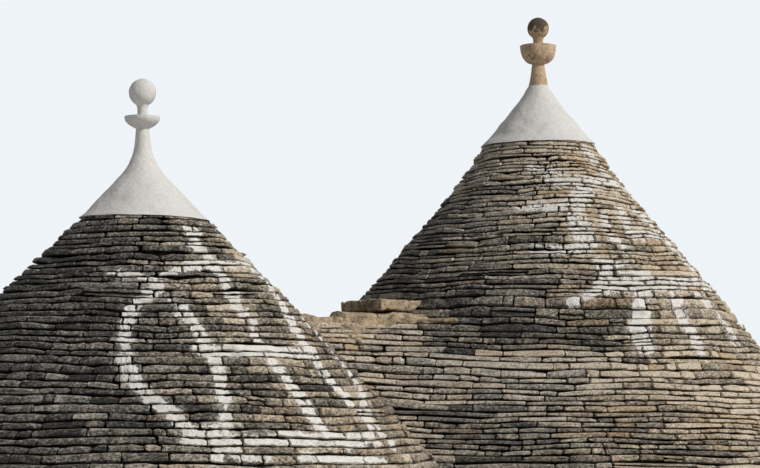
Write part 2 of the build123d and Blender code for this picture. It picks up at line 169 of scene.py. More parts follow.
class Finish:
    # a short way to write the node tree of one material
    def __init__(self, name):
        self.material = bpy.data.materials.new(name.replace("_", " "))
        self.material.use_nodes = True
        self.tree = self.material.node_tree
        self.shader = self.tree.nodes["Principled BSDF"]
        self.place = self.tree.nodes.new("ShaderNodeTexCoord").outputs["Object"]

    def link(self, source, target):
        # source is a number, a colour or vector, or the output of another node
        if isinstance(source, (int, float)):
            target.default_value = source
        elif isinstance(source, tuple):
            target.default_value = (*source, 1) if target.type == "RGBA" else source
        else:
            self.tree.links.new(source, target)

    def node(self, kind, sources):
        made = self.tree.nodes.new(kind)
        for socket, source in sources.items():
            self.link(source, made.inputs[socket])
        return made

    def stretched(self, factors):
        if not factors:
            return self.place
        return self.node("ShaderNodeMapping", {"Scale": factors, "Vector": self.place}).outputs[0]

    def noise(self, scale, detail=4, rough=0.6, stretch=None):
        place = self.stretched(stretch)
        return self.node("ShaderNodeTexNoise", {
            "Scale": scale, "Detail": detail, "Roughness": rough, "Vector": place}).outputs[0]

    def cellEdges(self, scale, stretch, random):
        node = self.node("ShaderNodeTexVoronoi", {"Vector": self.stretched(stretch)})
        node.feature = "DISTANCE_TO_EDGE"
        self.link(scale, node.inputs["Scale"])
        self.link(random, node.inputs["Randomness"])
        return node.outputs["Distance"]

    def combined(self, kind, first, second):
        node = self.node("ShaderNodeMath", {0: first, 1: second})
        node.operation = kind
        return node.outputs[0]

    def add(self, first, second):
        return self.combined("ADD", first, second)

    def less(self, first, second):
        return self.combined("SUBTRACT", first, second)

    def times(self, first, second):
        return self.combined("MULTIPLY", first, second)

    def span(self, value, low, high, toLow=0.0, toHigh=1.0):
        # the stretch from low to high, carried over to the one from toLow to toHigh
        return self.node("ShaderNodeMapRange", {
            "Value": value, "From Min": low, "From Max": high, "To Min": toLow, "To Max": toHigh}).outputs[0]

    def swing(self, value, reach):
        # the usual range of a noise, carried over to as much below zero as above it
        return self.span(value, 0.3, 0.7, -reach, reach)

    def mix(self, share, first, second):
        node = self.tree.nodes.new("ShaderNodeMix")
        node.data_type = "RGBA"
        for source, socket in ((share, 0), (first, 6), (second, 7)):      # 6 and 7 are its colour sockets
            self.link(source, node.inputs[socket])
        return node.outputs[2]

    def greyed(self, colour):
        return self.node("ShaderNodeRGBToBW", {0: colour}).outputs[0]

    def attribute(self, name, channel="Fac"):
        node = self.tree.nodes.new("ShaderNodeAttribute")
        node.attribute_name = name
        return node.outputs[channel]

    def parts(self, colour):
        return self.node("ShaderNodeSeparateColor", {0: colour}).outputs[:3]

    def height(self):
        return self.node("ShaderNodeSeparateXYZ", {0: self.place}).outputs[2]

    def facingSun(self):
        normal = self.tree.nodes.new("ShaderNodeNewGeometry").outputs["Normal"]
        node = self.node("ShaderNodeVectorMath", {0: normal, 1: tuple(sunDirection)})
        node.operation = "DOT_PRODUCT"
        return node.outputs["Value"]

    def bump(self, height, strength, distance):
        node = self.node("ShaderNodeBump", {"Height": height, "Strength": strength, "Distance": distance})
        self.link(node.outputs[0], self.shader.inputs["Normal"])

    def finish(self, colour, roughness, specular=0.3):
        self.link(colour, self.shader.inputs["Base Color"])
        self.link(roughness, self.shader.inputs["Roughness"])
        self.link(specular, self.shader.inputs["Specular IOR Level"])
        return self.material


roofLook = {
    "black": (0.018, 0.016, 0.014), "grey": (0.100, 0.091, 0.078), "clean": (0.300, 0.257, 0.202),
    "cream": (0.640, 0.560, 0.445), "ochre": (0.42, 0.28, 0.15), "lime": (0.74, 0.73, 0.71),
    "toGrey": 0.32, "toClean": 0.72, "toCream": 1.15,     # brightness at which a stone has each colour
    "crust": 0.76, "blotch": 0.20, "patch": 0.10,         # how much brighter or darker each of these makes it
    "darkInShade": 0.52, "lowEdge": -0.30, "highEdge": 0.22,  # painted shade, and painted shade and highlight at its edges
    "pits": 0.9, "shadeGreying": 0.55,                         # black in the pits, colour lost in the painted shade
    "ragged": 0.024, "chipped": 0.012, "haze": 0.22,      # uneven edges of a stroke, faint lime round it
}


def roofStone(name):
    # weathered slabs: tone holds each stone's brightness, its warmth and how much painted shade it gets,
    # darker where it faces away from the sun
    made, look = Finish(name), roofLook
    bright, warm, paintedShade = made.parts(made.attribute("tone", "Color"))
    blotch = made.noise(9)
    crust = made.noise(40, 5, 0.8, (1.0, 1.0, 1.4))
    pits = made.noise(80, 3, 0.65)
    level = made.add(bright, made.swing(blotch, look["blotch"]))
    level = made.add(level, made.swing(crust, look["crust"]))
    # painted shade darkens the stones turned away from the sun
    level = made.less(level, made.times(paintedShade, look["darkInShade"]))
    level = made.add(level, made.span(made.noise(1.3, 3, 0.5), 0.35, 0.65, -look["patch"], look["patch"]))
    # painted highlight along the upper edge of each stone, painted shade along its lower edge
    level = made.add(level, made.span(made.attribute("edge_light_and_shade"), -1.0, 1.0, look["lowEdge"], look["highEdge"]))
    colour = made.mix(made.span(level, 0.0, look["toGrey"]), look["black"], look["grey"])
    colour = made.mix(made.span(level, look["toGrey"], look["toClean"]), colour, look["clean"])
    colour = made.mix(made.span(level, look["toClean"], look["toCream"]), colour, look["cream"])
    drift = made.times(made.span(made.noise(2.6, 3), 0.54, 0.70, 0.0, 0.8), made.span(warm, -0.6, 0.4))
    warmth = made.combined("MAXIMUM", made.span(warm, 0.82, 1.0), drift)
    # the ochre tint shows mostly on the painted sunny side
    warmth = made.times(warmth, made.span(paintedShade, 0.65, 0.1, 0.10, 0.62))
    warmth = made.times(warmth, made.span(level, 0.2, 0.6))
    colour = made.mix(warmth, colour, look["ochre"])
    # the painted shade also greys the colour
    colour = made.mix(made.span(paintedShade, 0.1, 0.7, 0.0, look["shadeGreying"]), colour, made.greyed(colour))
    colour = made.mix(made.span(pits, 0.54, 0.66, 0.0, look["pits"]), colour, look["black"])
    edge = made.add(made.attribute("lime"), made.swing(blotch, look["ragged"]))
    edge = made.add(edge, made.swing(crust, look["chipped"]))
    worn = made.times(made.span(crust, 0.28, 0.40, 0.35, 1.0), made.span(pits, 0.58, 0.68, 1.0, 0.35))
    worn = made.times(worn, made.span(made.noise(5), 0.34, 0.48, 0.65, 1.0))
    faint = made.times(made.span(edge, -0.05, 0.0, 0.0, look["haze"]), made.span(crust, 0.35, 0.55))
    painted = made.combined("MAXIMUM", made.times(made.span(edge, -0.005, 0.006), worn), faint)
    colour = made.mix(painted, colour, look["lime"])
    made.bump(made.add(crust, made.times(pits, 0.4)), 0.8, 0.016)
    return made.finish(colour, 0.92)


plasters = {
    "whitewashed_plaster": {"colour": (0.612, 0.606, 0.606), "stain": (0.375, 0.362, 0.352), "streaks": 0.5},
    "limewashed_wall": {"colour": (0.66, 0.645, 0.61), "stain": (0.50, 0.46, 0.385), "streaks": 0.6},
}


def plaster(name, colour, stain, streaks):
    made = Finish(name)
    runs = made.noise(9, stretch=(1.0, 1.0, 0.25))
    grain = made.noise(46, 4, 0.7)
    share = made.times(made.span(runs, 0.45, 0.75), made.span(made.noise(5), 0.35, 0.7))
    share = made.add(made.times(share, streaks), made.span(grain, 0.46, 0.66, 0.0, 0.34))
    shown = made.mix(share, colour, stain)
    made.bump(made.less(made.noise(22), made.times(grain, 0.5)), 0.55, 0.012)
    return made.finish(shown, 0.88)


# stainFrom is the noise above which a stone is stained, stainShare how much of the stain then shows, the next
# key how much of the stain colour is painted on as shade on faces turned away from the sun, and blackTop the
# heights between which the stain grows
ballLow, ballHigh = spanOf("tall_ball", upZ)
paleStones = {
    "saddle_slabs": {
        "light": (0.54, 0.42, 0.285), "dark": (0.26, 0.20, 0.135), "stain": (0.075, 0.066, 0.055),
        "stainFrom": 0.51, "stainShare": 0.85, "shadeAway": 0.08},
    "bare_pinnacle_stone": {
        "light": (0.60, 0.465, 0.32), "dark": (0.42, 0.305, 0.195), "stain": (0.12, 0.09, 0.07)},
    "darkened_ball": {
        "light": (0.52, 0.40, 0.27), "dark": (0.34, 0.24, 0.15), "stain": (0.035, 0.026, 0.02),
        "stainFrom": 0.42, "stainShare": 0.88, "shadeAway": 0.12, "blackTop": (ballLow + 0.09, ballHigh - 0.04)},
    "dressed_stone": {
        "light": (0.56, 0.50, 0.40), "dark": (0.45, 0.39, 0.30), "stain": (0.25, 0.22, 0.18),
        "stainFrom": 0.6},
}


def paleStone(name, light, dark, stain, stainFrom=0.55, stainShare=0.75, shadeAway=0.0, blackTop=None):
    made = Finish(name)
    crust = made.noise(38, 5, 0.75)
    patch = made.add(made.noise(6, 5, 0.65), made.swing(crust, 0.25))
    colour = made.mix(made.span(patch, 0.3, 0.7), light, dark)
    stained = made.add(made.noise(11, 5, 0.7), made.swing(crust, 0.10))
    # painted shade: the stain colour laid on faces turned away from the sun
    stained = made.add(stained, made.span(made.facingSun(), 0.5, -0.1, 0.0, shadeAway))
    if blackTop:
        stained = made.add(stained, made.span(made.height(), *blackTop, -0.30, 0.30))
    colour = made.mix(made.span(stained, stainFrom, stainFrom + 0.14, 0.0, stainShare), colour, stain)
    pits = made.span(made.noise(95, 3, 0.7), 0.55, 0.66)
    colour = made.mix(made.times(pits, 0.7), colour, stain)
    made.bump(made.less(crust, made.times(pits, 0.3)), 0.7, 0.012)
    return made.finish(colour, 0.86)


rubbles = {
    "dome_stone": {
        "stone": (0.52, 0.48, 0.41), "joint": (0.20, 0.18, 0.15), "scale": 3.4, "stretch": (1.0, 1.0, 4.2)},
    "floor_stone": {
        "stone": (0.44, 0.40, 0.33), "joint": (0.22, 0.20, 0.16), "scale": 2.2, "stretch": (1.0, 1.0, 0.2),
        "jointWidth": 0.035},
    "rubble": {
        "stone": (0.30, 0.27, 0.22), "joint": (0.08, 0.07, 0.06), "scale": 8, "stretch": (1.0, 1.0, 1.6)},
}


def rubbleFace(name, stone, joint, scale, stretch, jointWidth=0.05):
    # stones drawn as cells of the surface, for inner faces and floors
    made = Finish(name)
    face = made.span(made.cellEdges(scale, stretch, 0.85), 0.0, jointWidth)
    colour = made.mix(made.span(made.noise(4), 0.3, 0.7), stone, tuple(0.82 * part for part in stone))
    colour = made.mix(face, joint, colour)
    made.bump(made.add(face, made.times(made.noise(40, 4, 0.65), 0.3)), 0.55, 0.012)
    return made.finish(colour, 0.9)


woodLook = {"dark": (0.10, 0.062, 0.038), "light": (0.17, 0.11, 0.07), "grain": (1.0, 1.0, 0.12)}
glassLook = {"colour": (0.86, 0.92, 0.92), "clear": 1.0, "index": 1.45}


def wood(name):
    made = Finish(name)
    streak = made.noise(30, 5, 0.6, woodLook["grain"])
    colour = made.mix(made.span(streak, 0.3, 0.7), woodLook["dark"], woodLook["light"])
    made.bump(streak, 0.4, 0.003)
    return made.finish(colour, 0.6)


def glass(name):
    made = Finish(name)
    made.shader.inputs["Transmission Weight"].default_value = glassLook["clear"]
    made.shader.inputs["IOR"].default_value = glassLook["index"]
    return made.finish(glassLook["colour"], 0.04, 0.5)


finishes = {
    "roof_slabs": roofStone("roof_slabs"),
    **{name: paleStone(name, **look) for name, look in paleStones.items()},
    **{name: plaster(name, **look) for name, look in plasters.items()},
    **{name: rubbleFace(name, **look) for name, look in rubbles.items()},
    "window_wood": wood("window_wood"),
    "window_glass": glass("window_glass"),
}

for part in frame["record"]["subparts"]:
    shell = nodes[part["node"]]
    shell.data.materials.clear()
    shell.data.materials.append(finishes[part["material_slot"]])
print("finishes mixed, on", len(nodes), "nodes")

# Painted signs
# Strokes of whitewash: the width in metres, and points in the photo from where the camera stands
photoPoints = {
    "small": {
        "ringLeft": (0.122, ((158, 285), (134, 307), (127, 320), (125, 343), (125, 359), (129, 375),
                             (137, 386), (148, 395), (158, 404), (170, 412), (181, 425), (192, 433),
                             (216, 434))),
        "topBar": (0.079, ((114, 272), (132, 276), (150, 279), (172, 274), (185, 266), (250, 265))),
        "ringRight": (0.108, ((175, 301), (192, 321), (204, 343), (217, 365), (221, 381), (224, 405),
                              (225, 433), (219, 447), (211, 463))),
        "firstSlant": (0.122, ((192, 230), (196, 246), (208, 259), (225, 284), (239, 307), (251, 325),
                               (256, 337), (274, 363), (288, 381), (304, 403), (318, 425), (343, 444))),
        "secondSlant": (0.126, ((247, 266), (263, 280), (282, 304), (296, 332), (315, 359), (332, 381),
                                (354, 406), (376, 428), (392, 444))),
        "thirdSlant": (0.100, ((302, 318), (318, 334), (332, 351), (348, 370), (359, 386), (370, 417))),
        "middleBar": (0.136, ((203, 350), (250, 351), (313, 351))),
        "footBar": (0.143, ((189, 437), (240, 442), (300, 441), (340, 440), (372, 437))),
        "leftDab": (0.086, ((230, 452), (262, 458))),
        "rightDab": (0.086, ((302, 456), (385, 462))),
    },
    "tall": {
        "crownDab": (0.084, ((533, 170), (551, 170))),
        "crownEnd": (0.062, ((548, 175), (560, 175))),
        "crownSlant": (0.134, ((586, 151), (592, 158), (597, 166), (604, 175), (612, 182), (621, 187),
                               (630, 192), (636, 198), (642, 205), (646, 211))),
        "crownBar": (0.134, ((552, 182), (612, 183))),
        "upperStem": (0.190, ((583, 190), (580, 200), (577, 212), (577, 222), (582, 232), (586, 244),
                              (588, 252))),
        "armBar": (0.112, ((531, 208), (586, 207))),
        "armEnd": (0.067, ((516, 208), (531, 208))),
        "lowArmBar": (0.123, ((537, 251), (590, 251))),
        "lowArmEnd": (0.090, ((592, 258), (612, 262), (626, 264))),
        "innerCurve": (0.095, ((604, 214), (606, 222), (608, 231), (613, 238), (619, 244), (624, 250))),
        "outerCurve": (0.095, ((620, 210), (623, 217), (627, 225), (632, 231))),
        "curveBar": (0.134, ((631, 235), (655, 236))),
        "rightSlant": (0.134, ((636, 212), (646, 219), (652, 226), (661, 235), (666, 243), (671, 250))),
        "rightEnd": (0.112, ((680, 259), (688, 268), (696, 276))),
        "middleDab": (0.146, ((605, 264), (607, 273))),
        "upperBar": (0.112, ((612, 276), (650, 277))),
        "longBar": (0.179, ((602, 283), (650, 284), (710, 285))),
        "leftSlant": (0.101, ((602, 289), (590, 294), (574, 301))),
        "firstLeg": (0.185, ((643, 294), (642, 310), (641, 322), (641, 335), (643, 345))),
        "secondLeg": (0.123, ((674, 295), (678, 308), (684, 320), (692, 332), (696, 342), (701, 352))),
        "thirdLeg": (0.123, ((699, 297), (710, 306), (719, 318), (728, 328), (736, 343))),
        "fourthLeg": (0.090, ((713, 291), (721, 300), (729, 309), (736, 318), (741, 325))),
    },
}
strokes = {
    "step": 3,                  # pixels between the points of a stroke
    "own": (-0.012, 0.014),     # metres that a stroke loses or wins on a single stone
    "faded": 0.05,              # share of the stones on which it has faded
    "fade": 0.04,               # metres that it loses there
}
sightSteps = np.linspace(10, 26, 1600)      # metres from the camera at which a line of sight is tried
roofOutline = {name: outlineOf(f"{name}_roof_cover", axisX) for name, axisX in roofAxis.items()}


def onRoof(name, x, y):
    # where the line of sight through a point of the photo meets a cone
    focal = view["lens"] / view["sensor"] * view["photoWidth"]
    ray = lookAt + cameraRight * ((x - view["photoWidth"] / 2) / focal) - cameraUp * (
        (y - view["photoHeight"] / 2) / focal)
    heights, radii = roofOutline[name]
    points = np.array(view["place"]) + sightSteps[:, None] * np.array(ray)
    away = np.hypot(points[:, 0] - roofAxis[name], points[:, 1]) - np.interp(points[:, 2], heights, radii)
    met = np.nonzero(away < 0)[0]
    return points[met[0]] if len(met) else None


def paintTree(name):
    # points along the strokes on a cone, to look the nearest one up, and half the width of paint at each
    spots = []
    for width, corners in photoPoints[name].values():
        for (x0, y0), (x1, y1) in zip(corners[:-1], corners[1:]):
            count = max(1, round(math.hypot(x1 - x0, y1 - y0) / strokes["step"]))
            for step in range(count + 1):
                spot = onRoof(name, x0 + (x1 - x0) * step / count, y0 + (y1 - y0) * step / count)
                if spot is not None:
                    spots.append((spot, width / 2))
    tree = kdtree.KDTree(len(spots))
    for index, (spot, _) in enumerate(spots):
        tree.insert(spot, index)
    tree.balance()
    return tree, [half for _, half in spots]


paint = {name: paintTree(name) for name in photoPoints}
print("signs traced")

# Laid stones


def newPiece(name, points, faces, slotName, material=None, smooth=True):
    mesh = bpy.data.meshes.new(name)
    mesh.from_pydata(points, [], faces)
    mesh.materials.append(material or finishes[slotName])
    mesh.polygons.foreach_set("use_smooth", [smooth] * len(mesh.polygons))
    mesh.update()
    piece = bpy.data.objects.new(name, mesh)
    bpy.context.scene.collection.objects.link(piece)
    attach(piece, "root")
    return piece


ringSize = 8           # corners round a section of a stone, from its inner foot by the face to its inner top
faceCorners = range(1, 6)
edgeLightOfCorner = np.array([-1.0, -1.0, -0.3, 0.0, 0.3, 1.0, 0.6, 0.0])     # from painted shade at the lower edge to a painted highlight at the upper one
plainStations = 6      # sections along a plain stone
paintedStations = 15   # and along one that a stroke crosses
unpainted = -1.0
shortestHalf = 0.02
# the least and most of each measure of its cut that a single stone gets, and where its middle line may run
differs = {
    "gap": (0.2, 1.0), "chip": (0.6, 1.5), "station": (0.85, 1.1), "taper": (0, 1), "under": (0.4, 1.5),
    "lowEdge": (0.6, 1.4), "highEdge": (0.5, 1.5), "middle": (0.42, 0.62), "depth": (0.9, 1.0),
    "parting": (0.4, 0.6),
}
stoneShape = {
    "insets": (0.02, 0.3),                  # least and most share of a stone that its chipped corners take
    "thinBelow": 0.3, "thinAbove": 0.7,     # how a thin end draws in from below and from above
    "leans": (0.1, 0.5, 0.9),               # share of the lean low, midway and high on the face
    "topChip": 0.6, "topMiddle": 0.45,      # where its top begins, in chips, and its middle, in depths
    "endBack": 1.2, "endRound": 0.4,        # shares of a chip by which the ends lie back and round off
}
# limits of brightness and of painted shade; painted shade below zero is painted sunlight
toneLimits = {"bright": (0, 1.3), "paintedShade": (-0.5, 0.85), "shadeSpread": 0.12}


def stoneFaces(count, stations):
    # quads between the sections, and the two ends
    faces = []
    for stone in range(count):
        first = stone * stations * ringSize
        for station in range(stations - 1):
            row = first + station * ringSize
            for corner in range(ringSize):
                after = (corner + 1) % ringSize
                faces.append((row + corner, row + ringSize + corner, row + ringSize + after, row + after))
        last = first + (stations - 1) * ringSize
        faces.append(tuple(first + corner for corner in range(ringSize)))
        faces.append(tuple(last + ringSize - 1 - corner for corner in range(ringSize)))
    return faces


def drawn(scale, shape=None):
    # a random lean to either side, without wild ones
    return scale * np.clip(dice.normal(0, 1, shape), -2, 2)


def varied(key, *shape):
    return dice.uniform(*differs[key], shape or None)


def stonePoints(batch, rough, stations):
    # batch holds one row for each stone: where its face stands, its ways along and out, and its sizes
    shape, count = stoneShape, len(batch["half"])
    half = np.maximum(batch["half"][:, None] - rough["gap"] * varied("gap", count, 1), shortestHalf)
    chip = rough["chip"] * varied("chip", count, 1)
    inset = np.clip(chip / half, *shape["insets"])
    inner = np.linspace(-1, 1, stations - 2)[1:-1] * varied("station", count, 1)
    share = np.concatenate([-np.ones_like(half), -1 + inset, inner, 1 - inset, np.ones_like(half)], 1)
    toRight = (share + 1) / 2
    low = batch["low"][:, :1] * (1 - toRight) + batch["low"][:, 1:] * toRight
    high = batch["high"][:, :1] * (1 - toRight) + batch["high"][:, 1:] * toRight
    tapers = rough["taper"] * varied("taper", 2, count, 1) ** 2
    thinned = (high - low) * share**2 * np.where(share < 0, *tapers)
    bedGap = rough["bedGap"] / 2
    low = low + np.abs(drawn(rough["bed"], (count, stations))) + bedGap + shape["thinBelow"] * thinned
    high = high - np.abs(drawn(rough["bed"], (count, stations))) - bedGap - shape["thinAbove"] * thinned
    tall = high - low
    under = rough["under"] * varied("under", count, stations)
    lowEdge = low + tall * rough["lowEdge"] * varied("lowEdge", count, stations)
    highEdge = high - tall * rough["highEdge"] * varied("highEdge", count, stations)
    middle = low + tall * varied("middle", count, 1)
    lean = batch["lean"][:, None]
    uneven = drawn(rough["face"], (count, stations, 3))
    deep = batch["depth"][:, None] + 0 * share
    faceIn = [uneven[..., row] + part * lean for row, part in enumerate(shape["leans"])]
    topIn = shape["topChip"] * chip + lean + 0 * share
    ringIn = np.stack([deep, under, *faceIn, topIn, shape["topMiddle"] * deep, deep], 2)
    ringUp = np.stack([low, low, lowEdge, middle, highEdge, high, high, high], 2)
    atEnd = (np.abs(share) > 0.999) * chip
    ringIn[:, :, 1:6] += shape["endBack"] * atEnd[:, :, None]
    ringUp[:, :, :3] += shape["endRound"] * atEnd[:, :, None]
    ringUp[:, :, 4:] -= shape["endRound"] * atEnd[:, :, None]
    along = (share * half)[:, :, None] + np.zeros((1, 1, ringSize))
    ends = np.abs(drawn(rough["ends"], (count, 2, ringSize)))
    along[:, :2] += ends[:, :1]
    along[:, -2:] -= ends[:, 1:]
    radius = batch["radius"][:, None, None]
    ringIn += batch["yaw"][:, None, None] * along - batch["proud"][:, None, None] + along**2 / (2 * radius)
    along = along * (1 - ringIn / radius)
    ringUp = ringUp + rough["tilt"] * ringIn
    out, way, start = (batch[key][:, None, None, :] for key in ("out", "way", "face"))
    points = start + way * along[..., None] - out * ringIn[..., None]
    points[..., 2] = ringUp
    return points


def limeOf(points, name):
    # how far inside a painted stroke each corner of the faces lies, a little different on each stone
    tree, halves = paint[name]
    result = np.full(points.shape[:3], unpainted)
    faded = dice.uniform(0, 1, len(points)) < strokes["faded"]
    for stone, own in enumerate(dice.uniform(*strokes["own"], len(points)) - faded * strokes["fade"]):
        for station in range(points.shape[1]):
            for corner in faceCorners:
                _, index, away = tree.find(points[stone, station, corner])
                result[stone, station, corner] = halves[index] - away + own
    return result


def colourStones(piece, points, batch, tone, sign):
    # what roofStone reads at each corner: tone with its painted sun and shade, lime, and the painted
    # highlight and shade of the upper and lower edges
    count, stations = points.shape[:2]
    height = batch["low"].mean(axis=1)
    lift = (height - height.min()) / (np.ptp(height) + 0.01)
    bright = dice.normal(tone["bright"], tone["spread"], count) + tone["upwards"] * (lift**2 - 0.3)
    warm = dice.uniform(0, 1, count) + tone["warm"] * lift**2
    # painted sunlight and shade: stones that face the sun are painted lighter, those turned away darker
    facing = np.maximum(batch["out"] @ np.array(sunDirection), 0) ** tone["focus"]
    paintedShade = tone["darkInShade"] - tone["paintedSun"] * facing + dice.normal(0, toneLimits["shadeSpread"], count)
    bright, paintedShade = np.clip(bright, *toneLimits["bright"]), np.clip(paintedShade, *toneLimits["paintedShade"])
    colours = np.repeat(np.stack([bright, warm, paintedShade, np.ones(count)], 1), stations * ringSize, axis=0)
    lime = limeOf(points, sign) if sign else np.full(points.shape[:3], unpainted)
    attributes = piece.data.attributes
    attributes.new("tone", "FLOAT_COLOR", "POINT").data.foreach_set("color", colours.ravel())
    attributes.new("lime", "FLOAT", "POINT").data.foreach_set("value", lime.ravel())
    attributes.new("edge_light_and_shade", "FLOAT", "POINT").data.foreach_set("value", np.tile(edgeLightOfCorner, count * stations))


def layStones(name, batch, rough, slotName, tone=None, sign=None):
    stations = paintedStations if sign else plainStations
    points = stonePoints(batch, rough, stations)
    faces = stoneFaces(len(points), stations)
    piece = newPiece(name, points.reshape(-1, 3).tolist(), faces, slotName, smooth=False)
    if tone:
        colourStones(piece, points, batch, tone, sign)
    print(f"{name}: {len(points)} stones")
    return piece


# Courses of stones
courseLine = {
    "corners": 721,        # round the line that a course follows
    "longest": 0.067,      # share of its course that a usual stone takes at most
    "straight": 0.002,     # a stone that turns less than this is straight, and has the radius below
    "straightRadius": 1e4, "leastRadius": 0.45,
    "climbOut": 0.8, "climbDown": 0.4,      # metres over which a course comes to its full rise
    # waves of the courses: share of the wander, turns on the way round, shift with height, and start
    "slow": ((0.5, 2, 2.3, 0), (0.3, 5, -3.1, 1)), "quick": ((0.25, 11, 9, 0), (0.2, 17, -21, 0)),
    "calm": 0.2,           # metres from the foot and the top over which they die down
}


def splitLength(total, length, vary):
    # thin and long stones that fill a length
    lengths = []
    while sum(lengths) < total:
        lengths.append(length * math.exp(dice.normal(0, vary)))
    edges = np.concatenate([[0], np.cumsum(lengths)])
    return edges * (total / edges[-1])


def courseLevels(low, high, size):
    # thicker courses towards the foot, and none quite like the next
    count = max(1, round((high - low) / size["course"]))
    steps = dice.uniform(1 - size["courseVary"], 1 + size["courseVary"], count)
    steps *= np.linspace(1 + size["thicker"], 1 - size["thicker"], count)
    for height, around, extra in size.get("thickAt", ()):
        steps *= 1 + extra * np.exp(-((np.linspace(low, high, count) - height) / around) ** 2)
    levels = np.concatenate([[0], np.cumsum(steps)])
    return low + (high - low) * levels / levels[-1]


def waves(angle, level, kinds):
    return sum(share * np.sin(turns * angle + shift * level + start) for share, turns, shift, start in kinds)


def wander(angle, level, low, high, size):
    # courses rise and fall a little on their way round, and less near the foot and the top
    calm = courseLine["calm"]
    fade = np.clip((level - low) / calm, 0, 1) * np.clip((high - level) / calm, 0, 1)
    slow, quick = waves(angle, level, courseLine["slow"]), waves(angle, level, courseLine["quick"])
    return size["wander"] * fade * (slow + quick)


def climb(reach, level, size):
    # how far a course rises where it runs out over the saddle
    outwards = np.clip((reach - reach.min()) / courseLine["climbOut"], 0, 1)
    return size["rise"] * outwards * np.clip((saddleTop - level) / courseLine["climbDown"], 0, 1)


def stoneRow(size, half, lows, highs, lean, radius, out, way, face):
    # one stone of a batch, a little unlike the next
    depth = size["depth"] * varied("depth")
    return {"half": half, "low": lows, "high": highs, "depth": depth, "lean": lean,
            "proud": drawn(size["proud"]), "yaw": drawn(size["yaw"]), "radius": radius,
            "out": out, "way": way, "face": face}


def courseShape(axisX, reach, angles):
    # along a course at each angle: its place, its way, the way's direction, and its length so far
    line = np.stack([axisX + np.cos(angles) * reach, np.sin(angles) * reach], 1)
    ways = np.gradient(line, axis=0)
    ways /= np.hypot(*ways.T)[:, None]
    heading = np.unwrap(np.arctan2(ways[:, 1], ways[:, 0]))
    return line, ways, heading, np.concatenate([[0], np.cumsum(np.hypot(*np.diff(line, axis=0).T))])


def roundCourses(axisX, low, high, reachAt, size, keep, cut=None):
    # stones laid in rings about an upright axis, on the line that reachAt gives for angles and a height
    rows = []
    levels = courseLevels(low, high, size)
    for bottom, top in zip(levels[:-1], levels[1:]):
        angles = dice.uniform(0, 2 * math.pi) + np.linspace(0, 2 * math.pi, courseLine["corners"])
        lowReach, highReach = reachAt(angles, bottom), reachAt(angles, top)
        line, ways, heading, lengths = courseShape(axisX, lowReach, angles)
        beds = (bottom, climb(lowReach, bottom, size)), (top, climb(highReach, top, size))
        usual = min(size["length"], courseLine["longest"] * lengths[-1])
        edges = np.interp(splitLength(lengths[-1], usual, size["vary"]), lengths, angles)
        pairs = list(zip(edges[:-1], edges[1:]))
        if cut:
            pairs = [kept for pair in pairs for kept in cut(pair, bottom, top, lowReach[0])]
        for left, right in pairs:
            middle = (left + right) / 2
            x, y, wayX, wayY, reachLow, reachHigh = (
                np.interp(middle, angles, row) for row in (*line.T, *ways.T, lowReach, highReach))
            if not keep(x, y, (bottom + top) / 2):
                continue
            out, way = np.array((wayY, -wayX, 0)), (wayX, wayY, 0)
            step = (reachLow - reachHigh) * (out[0] * math.cos(middle) + out[1] * math.sin(middle))
            turn = np.interp(right, angles, heading) - np.interp(left, angles, heading)
            half = (np.interp(right, angles, lengths) - np.interp(left, angles, lengths)) / 2
            radius = 2 * half / turn if abs(turn) > courseLine["straight"] else courseLine["straightRadius"]
            radius = math.copysign(max(abs(radius), courseLine["leastRadius"]), radius)
            face = np.array((x, y, 0)) - out * size["setIn"] * step
            lows, highs = (
                np.array([level + wander(angle, level, low, high, size) + np.interp(angle, angles, rise)
                          for angle in (left, right)])
                for level, rise in beds)
            lean = size["lean"] * step
            half *= 1 - size["setIn"] * step / radius
            laid = [(lows, highs, lean)]
            if dice.random() < size["pairs"] and top - bottom > size["course"]:
                parting = lows + (highs - lows) * varied("parting")
                laid = [(lows, parting, lean / 2), (parting, highs, lean)]
            rows += [stoneRow(size, half, *sides, radius, out, way, face) for sides in laid]
    return {key: np.array([row[key] for row in rows], float) for key in rows[0]}


# Roof cones
# A cut: gap and bedGap are the joints beside and below a stone, chip its broken corners, bed, face and ends
# how uneven it is, under how far its foot lies back, lowEdge and highEdge the rounded shares of its face,
# tilt its fall inwards, and taper how thin its ends may get.
slabCut = {"gap": 0.0022, "bedGap": 0.003, "chip": 0.007, "bed": 0.0040, "face": 0.0042, "under": 0.020,
           "lowEdge": 0.22, "highEdge": 0.18, "ends": 0.006, "tilt": 0.04, "taper": 0.32}
# A size: course and length are a stone's usual height and length, courseVary and vary how far they differ,
# thicker how much thicker the lowest courses are, and thickAt the heights with thick ones. lean and setIn are
# the shares of a step by which a face leans and stands back, proud and yaw how far single stones stand out
# and turn, wander how far a course rises and falls, pairs the share of stones laid as two thin ones, and rise
# the climb of courses out over the saddle.
slabs = {"length": 0.25, "vary": 0.46, "depth": 0.27, "setIn": 0.3, "proud": 0.007, "yaw": 0.02,
         "pairs": 0.05}
smallRoof = {**slabs, "course": 0.056, "courseVary": 0.27, "thicker": 0.16, "lean": 0.40, "wander": 0.024,
             "rise": 0.0}
tallRoof = {**slabs, "course": 0.048, "courseVary": 0.25, "thicker": 0.14, "lean": 0.45, "wander": 0.028,
            "rise": 0.07, "thickAt": ((3.40, 0.20, 0.3), (3.74, 0.09, 0.9), (4.28, 0.04, 0.8))}
